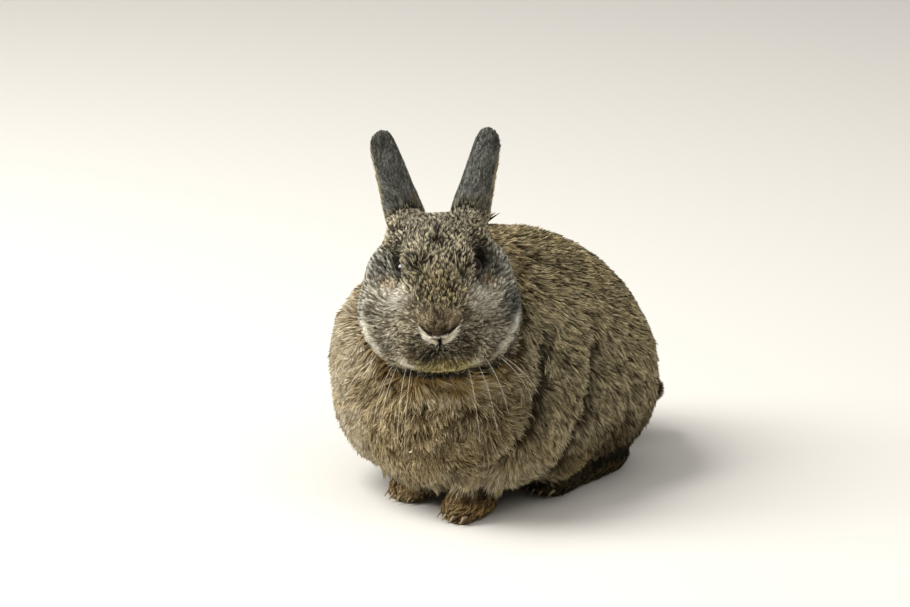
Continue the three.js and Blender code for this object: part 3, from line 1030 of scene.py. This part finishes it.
# The lie wanders smoothly, lock by lock, and a little from tuft to tuft.
root_mm = root / MM
lock_heads = dice.random(count) < 1 / (groom["density"] * groom["lock_size"] ** 2 * 0.8).clip(2)
heads = np.flatnonzero(lock_heads)
tree_of_heads = KDTree(len(heads))
for index in heads:
    tree_of_heads.insert(Vector(root[index]), int(index))
tree_of_heads.balance()
lock = np.array([tree_of_heads.find(Vector(point))[1] for point in root])
lock_turn = dice.normal(size=count)[lock]
lock_rise = dice.normal(size=count)[lock]
sway = ripple(root_mm, 26, 11) + 0.7 * ripple(root_mm, 8, 12)
sway += 0.9 * ripple(root_mm, 6, 13) * is_part(root_part, "head")
sway += 0.4 * lock_turn + 0.35 * dice.normal(size=count)
sway = np.radians(groom["wander"]) * sway
way = leaned(lie, np.cross(normal, lie), sway)
streak = streaks(root_mm, way, 3.8, 6, 51)
rise = np.radians(groom["rise"] + 5 * lock_rise + 5 * dice.normal(size=count)).clip(0.15, 1.3)
settle = np.radians(groom["lie"] + 3 * streak + 4 * lock_rise + 5 * dice.normal(size=count))
settle = np.minimum(settle.clip(-0.1), rise - 0.12)
KNEE = 0.5  # share of a tuft's length at its widest place, where it bends over
lifted = KNEE * np.sin(rise) + (1 - KNEE) * np.sin(settle)
length = root_depth / lifted.clip(0.2) * dice.uniform(0.82, 1.12, count)
tousle = at_roots(front_chest)
length *= 1 + (0.08 + 0.16 * tousle) * ripple(root_mm, 9, 41) * (root_depth > 5)
length = length.clip(1.2, 22 - 9 * is_part(root_part, "neck", "head"))
for behind, strength in folds_at(root, normal):
    # Hair before a fold ends where the fold drops away.
    to_fold = (2.5 - behind) / 0.72
    over = strength * (behind < 0) * (length > to_fold) * dice.uniform(0.35, 1.0, count)
    length += (to_fold - length) * over
root_q = in_head(root)
up_ear, to_rim, in_ear = ear_fields(root_q)
on_ear = is_part(root_part, "ear").astype(bool)
length[on_ear] = np.minimum(length, 1.3 + 0.4 * EAR_LENGTH * (1 - up_ear))[on_ear]
hanging = is_part(root_part, "trunk") * ease(52, 38, root_mm[:, 2]) * ease(-45, -70, root_mm[:, 1])
length *= 1 + 0.2 * hanging
fringe = is_part(root_part, "head") * near_line(both_sides(root_q), JOWL_LINE, 3.0)
length *= 1 + 0.35 * fringe
length = (length * MM)[:, None]
knee = root + leaned(way, normal, rise) * (KNEE * length)
tip = knee + leaned(way, normal, settle) * ((1 - KNEE) * length)
pull = groom["pull"] * dice.uniform(0.6, 1.2, count)
pull *= np.linalg.norm(root - root[lock], axis=1) / MM < 2 * groom["lock_size"]
knee += (knee[lock] - knee) * (0.25 * pull)[:, None]
tip += (tip[lock] - tip) * pull[:, None]


def tucked_in(points, allowed):
    """Draws points that stand further out of the solids' outline than allowed back to it."""
    drawn = points.copy()
    allowed = allowed - hollows_at(points, normal)
    for index, point in enumerate(points):
        place, outward, _, far = outline_tree.find_nearest(Vector(point))
        stand = math.copysign(far, (Vector(point) - place).dot(outward)) / MM - allowed[index]
        if stand > 0:
            drawn[index] -= np.array(outward) * stand * MM
    return drawn


# The tips end at the outline, a few just past it, and nothing goes below the floor.
long_coat = ease(3, 7, root_depth)
stray = (0.3 + 0.7 * long_coat) * (1 - 0.55 * is_part(root_part, "head", "eye"))
stand_out = stray * (0.9 + np.abs(dice.normal(size=count)) + 0.7 * ripple(root_mm, 10, 42))
tip = tucked_in(tip, stand_out + 2 * hanging)
knee = tucked_in(knee, -0.2 - 0.6 * long_coat)
knee[:, 2] = knee[:, 2].clip(0.6 * MM)
tip[:, 2] = tip[:, 2].clip(0.2 * MM)

ROLL = math.radians(26)  # a tuft turns about its own length, so that its faces catch the light
ROOTED = 0.25 * MM  # a tuft starts this far under the skin
run = unit(tip - root)
sideways = unit(np.cross(run, normal))
sideways = unit(leaned(sideways, np.cross(sideways, run), ROLL * dice.normal(size=count)))
half_width = (groom["width"] * dice.uniform(0.6, 1.25, count) * 0.5 * MM)[:, None]
arch = unit(np.cross(sideways, run))
height = ((knee - root) * arch).sum(1, keepdims=True)
knee += arch * (np.maximum(height, 0.3 * half_width) - height)
tuft_points = np.stack(
    [root - normal * ROOTED, knee + sideways * half_width, knee - sideways * half_width, tip],
    axis=1,
)
edges = tuft_points[:, 1:] - tuft_points[:, :1]
inside_out = (np.cross(edges[:, 0], edges[:, 1]) * edges[:, 2]).sum(1) > 0
tuft_points[inside_out, 1:3] = tuft_points[inside_out, 2:0:-1]

TUFT_FACES = np.array([[0, 1, 2], [3, 2, 1], [1, 0, 3], [0, 2, 3]])
TUFT_ALONG = np.array([0.0, KNEE, KNEE, 1.0])
TUFT_CORNERS = len(TUFT_ALONG)
PATCH = 0.003  # size of a tuft's patch on the bake map
TUFT_PATCH = np.array([[0, -0.5], [-0.5, 0], [0.5, 0], [0, 0.5]]) * PATCH

# Every tuft has the colours of its root, shaded by chance and by its lock.
WHITEST = 0.88  # no hair gives back more light than this
root_dark, root_pale = markings(root, normal, root_part)
shade = 1 + 0.12 * ripple(root_mm, 14, 21) + 0.16 * dice.normal(size=count)
shade += 0.10 * dice.normal(size=count)[lock]
shade = shade.clip(0.5, 1.6)[:, None]

# A tuft's tone is the share of its band that is pale: by chance, by its lock, and in streaks
# along the lie of the hair, which are short curls on the forehead and long on the cheeks.
tone = 0.42 * dice.random(count) + 0.18 * dice.random(count)[lock] + 0.2 + 0.05 * ripple(root_mm, 12, 33)
on_head = is_part(root_part, "head", "eye").astype(bool)
band_mm = (0.3 * knee + 0.7 * tip) / MM
body_grain = streaks(band_mm, way, 2.7, 4, 53, 0.7)
curls = streaks(band_mm, way, 2.7, 0.8, 54, 0.85)
cheek_grain = streaks(band_mm, way, 2.3, 4, 55, 0.8)
on_cheek = ease(18, 27, np.abs(root_q[:, 0])) * ease(34, 22, root_q[:, 2])
on_cheek = np.maximum(on_cheek, ease(12, 6, root_q[:, 2]))
head_grain = curls + (cheek_grain - curls) * on_cheek
contrast = np.where(on_head, 1.9 - 0.7 * on_cheek, 1.6)
tone += np.where(on_head, 0.2 * head_grain, 0.16 * body_grain)
tone = np.where(on_head, 0.48, 0.55) + contrast * (tone - 0.5)
# The pale fringe of the cheeks is made paler still as a painted highlight.
tone += 0.5 * fringe

# Guard hair: dull keratin with a slight silky sheen, coloured in bands along each tuft. A band
# is pale by as much as the tuft's own tone says.
AGOUTI_BANDS = ((0.0, 0.0), (0.55, 0.08), (0.74, 0.5), (0.86, 1.0), (0.95, 0.85), (1.0, 0.3))
guard_hair, tree, shader = new_material("agouti_guard_hair")
dark = add_node(tree, "Attribute", {}, attribute_name="coat_dark")
pale = add_node(tree, "Attribute", {}, attribute_name="coat_pale")
up_hair = add_node(tree, "Attribute", {}, attribute_name="along")
own_tone = add_node(tree, "Attribute", {}, attribute_name="tone")
bands = add_node(tree, "ValToRGB", {"Fac": up_hair.outputs["Fac"]},
                 [(at, [level] * 3) for at, level in AGOUTI_BANDS])
light = add_node(tree, "MapRange", {"Value": own_tone.outputs["Fac"], "From Min": 0.12, "From Max": 0.8})
share = add_node(tree, "Math", {
    0: bands.outputs["Color"], 1: light.outputs["Result"],
}, operation="MULTIPLY")
banded = add_node(tree, "Mix", {
    0: share.outputs["Value"], 6: dark.outputs["Color"], 7: pale.outputs["Color"],
}, data_type="RGBA")
set_inputs(tree, shader, {
    "Base Color": banded.outputs[2], "Roughness": 0.62, "Specular IOR Level": 0.12, "Sheen Weight": 0.03,
})


def bake_place(points):
    """An unwrap of a patch of skin: round and up about its own middle, filling the square."""
    away = unit(points - points.mean(0))
    turned = np.arctan2(away[:, 0], -away[:, 1]) / (2 * np.pi) + 0.5
    height = np.arccos(np.clip(-away[:, 2], -1, 1)) / np.pi
    square = np.column_stack([turned, height])
    low, high = square.min(0), square.max(0)
    margin = 2 * PATCH
    return margin + (square - low) / (high - low) * (1 - 2 * margin)


def lay_coat(name, mine):
    """One piece of the coat from the tufts that a mask chooses."""
    tufts = np.flatnonzero(mine)
    size = len(tufts)
    mesh = bpy.data.meshes.new(name)
    piece = put(name, mesh)
    mesh.vertices.add(size * TUFT_CORNERS)
    mesh.vertices.foreach_set("co", tuft_points[tufts].astype(np.float32).ravel())
    faces = (np.arange(size)[:, None, None] * TUFT_CORNERS + TUFT_FACES).reshape(-1, 3)
    mesh.loops.add(faces.size)
    mesh.loops.foreach_set("vertex_index", faces.astype(np.int32).ravel())
    mesh.polygons.add(len(faces))
    mesh.polygons.foreach_set("loop_start", np.arange(0, faces.size, 3, dtype=np.int32))
    mesh.update(calc_edges=True)
    mesh.polygons.foreach_set("use_smooth", np.zeros(len(faces), bool))
    place = bake_place(root[tufts])
    map_points = (place[:, None, :] + TUFT_PATCH).reshape(-1, 2)
    bake_map = mesh.uv_layers.new(name="OFBake")
    bake_map.data.foreach_set("uv", map_points[faces.ravel()].astype(np.float32).ravel())
    for kind, colours in (("coat_dark", root_dark), ("coat_pale", root_pale)):
        shaded = colours[tufts] * shade[tufts]
        shaded *= WHITEST / shaded.max(1, keepdims=True).clip(WHITEST)
        add_colours(piece, kind, np.repeat(shaded, TUFT_CORNERS, axis=0))
    add_numbers(piece, "along", np.tile(TUFT_ALONG, size))
    add_numbers(piece, "tone", np.repeat(tone[tufts], TUFT_CORNERS))
    mesh.materials.append(guard_hair)
    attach(piece, "root")


def grows_on(part):
    return is_part(root_part, part).astype(bool)


# Where the pieces of the coat meet: along the body, and behind the tip of the nose.
RUMP_FROM, CHEST_TO, FACE_TO = 30, -45, 42
trunk = grows_on("trunk")
rear = root_mm[:, 1] > RUMP_FROM
front = root_mm[:, 1] < CHEST_TO
top = normal[:, 2] > 0.5
face = root_q[:, 1] < FACE_TO
lay_coat("coat_face", on_head & face)
lay_coat("coat_crown_and_cheeks", on_head & ~face)
lay_coat("coat_neck", grows_on("neck"))
lay_coat("coat_back", trunk & ~rear & ~front & top)
lay_coat("coat_tail", grows_on("tail"))
for side, sign in SIDES.items():
    mine = sign * root[:, 0] > 0
    lay_coat(f"coat_chest_{side}", trunk & front & mine)
    lay_coat(f"coat_flank_{side}", trunk & ~rear & ~front & ~top & mine)
    lay_coat(f"coat_rump_{side}", trunk & rear & mine)
    lay_coat(f"coat_thigh_{side}", grows_on("thigh") & mine)
    lay_coat(f"coat_ear_{side}", grows_on(f"ear_{side}"))
    lay_coat(f"coat_foreleg_{side}", grows_on(f"foreleg_{side}"))
    lay_coat(f"coat_hind_foot_{side}", grows_on(f"hind_foot_{side}"))


# ---------------------------------------------------------------- the whiskers
# Whiskers are single stiff hairs, pale and tapering, set in rows in the pads beside the nose.
# Each is a thin closed rod that leaves the pad sideways and hangs over the chest.

WHISKERS = 5  # on each side
WHISKER_SEED = 31
WHISKER_STEPS = 16
WHISKER_RADIUS = 0.16
WHISKER_TAPER = 0.1
WHISKER_MOTTLE = 8.33 * MM
ROD_SIDES = 5


def rod(path, radii):
    """Points and faces of a closed round rod along a path, with a point at its far end."""
    ways = unit(np.gradient(path, axis=0))
    one = unit(np.cross(ways, [0.2, 0.3, 1.0]))
    two = np.cross(ways, one)
    turns = np.arange(ROD_SIDES) * 2 * np.pi / ROD_SIDES
    ring = one[:, None] * np.cos(turns)[None, :, None] + two[:, None] * np.sin(turns)[None, :, None]
    points = path[:, None] + ring * np.asarray(radii)[:, None, None]
    points = np.vstack([points.reshape(-1, 3), path[:1], path[-1:] + ways[-1:] * radii[-1]])
    faces = []
    steps = len(path)
    last = (steps - 1) * ROD_SIDES
    for start in range(0, last, ROD_SIDES):
        for k in range(ROD_SIDES):
            a, b = start + k, start + (k + 1) % ROD_SIDES
            faces.append((a, b, b + ROD_SIDES, a + ROD_SIDES))
    for k in range(ROD_SIDES):
        after = (k + 1) % ROD_SIDES
        faces.append((after, k, steps * ROD_SIDES))
        faces.append((last + k, last + after, steps * ROD_SIDES + 1))
    return points, faces


def joined(name, solids, finish):
    """One piece from several closed solids."""
    points, faces = gathered(solids)
    mesh = bpy.data.meshes.new(name)
    mesh.from_pydata(points, [], faces)
    piece = put(name, mesh)
    only(piece)
    bpy.ops.object.mode_set(mode="EDIT")
    bpy.ops.mesh.select_all(action="SELECT")
    bpy.ops.mesh.normals_make_consistent(inside=False)
    bpy.ops.object.mode_set(mode="OBJECT")
    bpy.ops.object.shade_smooth()
    mesh.materials.append(finish)
    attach(piece, "root")
    return piece


# Whisker keratin: a smooth stiff hair, dark in the pad and cream to clear past it, a little
# glossy, so that it shows against the dark coat.
whisker_hair, tree, shader = new_material("whisker_keratin")
place = add_node(tree, "TexCoord", {})
mottle = add_node(tree, "TexNoise", {"Vector": place.outputs["Object"], "Scale": 1 / WHISKER_MOTTLE})
cream = add_node(tree, "ValToRGB", {"Fac": mottle.outputs["Fac"]},
                 [(0.0, linear("#ddd3b8")), (1.0, linear("#fffaea"))])
up_hair = add_node(tree, "Attribute", {}, attribute_name="along")
past_pad = add_node(tree, "MapRange", {"Value": up_hair.outputs["Fac"], "From Min": 0.3, "From Max": 0.5})
two_toned = add_node(tree, "Mix", {
    0: past_pad.outputs["Result"], 6: (*linear("#3a3122"), 1), 7: cream.outputs["Color"],
}, data_type="RGBA")
set_inputs(tree, shader, {"Base Color": two_toned.outputs[2], "Roughness": 0.35})

dice = np.random.default_rng(WHISKER_SEED)
t = np.linspace(0, 1, WHISKER_STEPS)[:, None]
for side, sign in SIDES.items():
    solids = []
    for k in range(WHISKERS):
        share = k / (WHISKERS - 1)
        start = np.array([12 + 6 * share, 4.6 + 3 * share, -4 - 5.0 * dice.random()])
        out, down = 4 * dice.normal(), 6 * dice.normal()
        end = np.array([22 + 36 * share + out, 6 + 25 * share, -78 + 24 * share + down])
        bend = start + (end - start) * [0.75, 0, 0.2] + [0, -7, 0]
        path = (1 - t) ** 2 * start + 2 * t * (1 - t) * bend + t ** 2 * end
        path[:, 0] *= sign
        radii = (WHISKER_RADIUS - WHISKER_TAPER * t[:, 0]) * MM
        solids.append(rod(out_of_head(path), radii))
    whiskers = joined(f"whiskers_{side}", solids, whisker_hair)
    steps = np.repeat(t[:, 0], ROD_SIDES)
    add_numbers(whiskers, "along", np.tile(np.concatenate([steps, [0, 1]]), WHISKERS))


# ---------------------------------------------------------------- the claws
# Claws are curved horn, dark at the root and pale at the point, one at the end of each toe,
# and all but their points lie in the fur.

TOES = (-1.5, -0.5, 0.5, 1.5)  # places across a foot, from its middle
TOE_PITCH = 1 / 4.2  # of the width of a foot
CLAW_LENGTH = 8.5
CLAW_RADIUS = 1.35
CLAW_HEIGHT = 5.6  # of the root over the ground
CLAW_STEPS = 9
HORN_FIBRE = 1.43 * MM

# Horn: hard, smooth and half dull, mottled brown and cream by its fibres.
horn, tree, shader = new_material("claw_horn")
place = add_node(tree, "TexCoord", {})
fibre = add_node(tree, "TexNoise", {
    "Vector": place.outputs["Object"], "Scale": 1 / HORN_FIBRE, "Detail": 3.0,
})
brown = add_node(tree, "ValToRGB", {"Fac": fibre.outputs["Fac"]},
                 [(0.0, linear("#4a3b28")), (1.0, linear("#b7a27e"))])
set_inputs(tree, shader, {"Base Color": brown.outputs["Color"], "Roughness": 0.4})

t = np.linspace(0, 1, CLAW_STEPS)[:, None]
for foot in ("foreleg", "hind_foot"):
    for side in SIDES:
        low, high = (np.array(corner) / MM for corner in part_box(f"{foot}_{side}"))
        width = high[0] - low[0]
        solids = []
        for toe in TOES:
            x = (low[0] + high[0]) / 2 + toe * width * TOE_PITCH
            start = np.array([x, low[1] + 3.5 + 1.3 * toe * toe, CLAW_HEIGHT])
            path = start + CLAW_LENGTH * (t * [0, -0.9, 0.05] + t ** 2 * [0, 0.12, -0.5])
            radii = (CLAW_RADIUS * (1 - 0.88 * t[:, 0] ** 1.4)) * MM
            solids.append(rod(path * MM, radii))
        joined(f"claws_{foot}_{side}", solids, horn)


# ---------------------------------------------------------------- floor, light and camera
# A plain pale floor, a large soft lamp high on the left of the camera, a weaker one on its
# right, one overhead, and a pale room. The camera looks down on the rabbit's face.

AIM = Vector((19.0, -63.9, 135.4)) * MM
VIEW = (42, 18)  # degrees round from the front of the body to its left, and up
DISTANCE = 2.2
LENS = 138.5

# Matt painted board, even and without gloss.
bpy.ops.object.select_all(action="DESELECT")
bpy.ops.mesh.primitive_plane_add(size=12, location=(0, 0, 0))
floor = bpy.context.object
floor.name = "floor"
paint, tree, shader = new_material("matt_studio_floor")
set_inputs(tree, shader, {"Base Color": (*linear("#cfcbc3"), 1), "Roughness": 0.95})
floor.data.materials.append(paint)
floor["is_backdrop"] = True

room = bpy.data.worlds.new("room")
room.use_nodes = True
set_inputs(room.node_tree, room.node_tree.nodes["Background"], {
    "Color": (*linear("#ece9e3"), 1), "Strength": 0.22,
})
bpy.context.scene.world = room


def stand(name, data, azimuth, elevation, distance):
    """A lamp or camera set up at a distance from the rabbit, and aimed at it."""
    made = put(name, data)
    a, e = math.radians(azimuth), math.radians(elevation)
    back = Vector((math.sin(a) * math.cos(e), -math.cos(a) * math.cos(e), math.sin(e)))
    made.location = AIM + back * distance
    made.rotation_mode = "QUATERNION"
    made.rotation_quaternion = (-back).to_track_quat("-Z", "Y")
    return made


# Each lamp: degrees round and up, distance, width and height of its screen, and watts.
LAMPS = {
    "key": (-42, 50, 2.2, 0.9, 1.9, 90),
    "fill": (105, 50, 2.6, 1.6, 1.6, 17),
    "sky": (42, 84, 2.4, 3.0, 3.0, 30),
}
for name, (azimuth, elevation, distance, width, height, power) in LAMPS.items():
    light = bpy.data.lights.new(name, "AREA")
    light.shape = "RECTANGLE"
    light.size = width
    light.size_y = height
    light.energy = power
    stand(name, light, azimuth, elevation, distance)

camera = stand("camera", bpy.data.cameras.new("camera"), *VIEW, DISTANCE)
camera.data.lens = LENS
camera.data.sensor_width = 36
camera.data.clip_end = 30
bpy.context.scene.camera = camera
bpy.context.scene.view_settings.view_transform = "Standard"

low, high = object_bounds()
{"cad": [list(cad_low), list(cad_high)], "visual": [list(low), list(high)]}
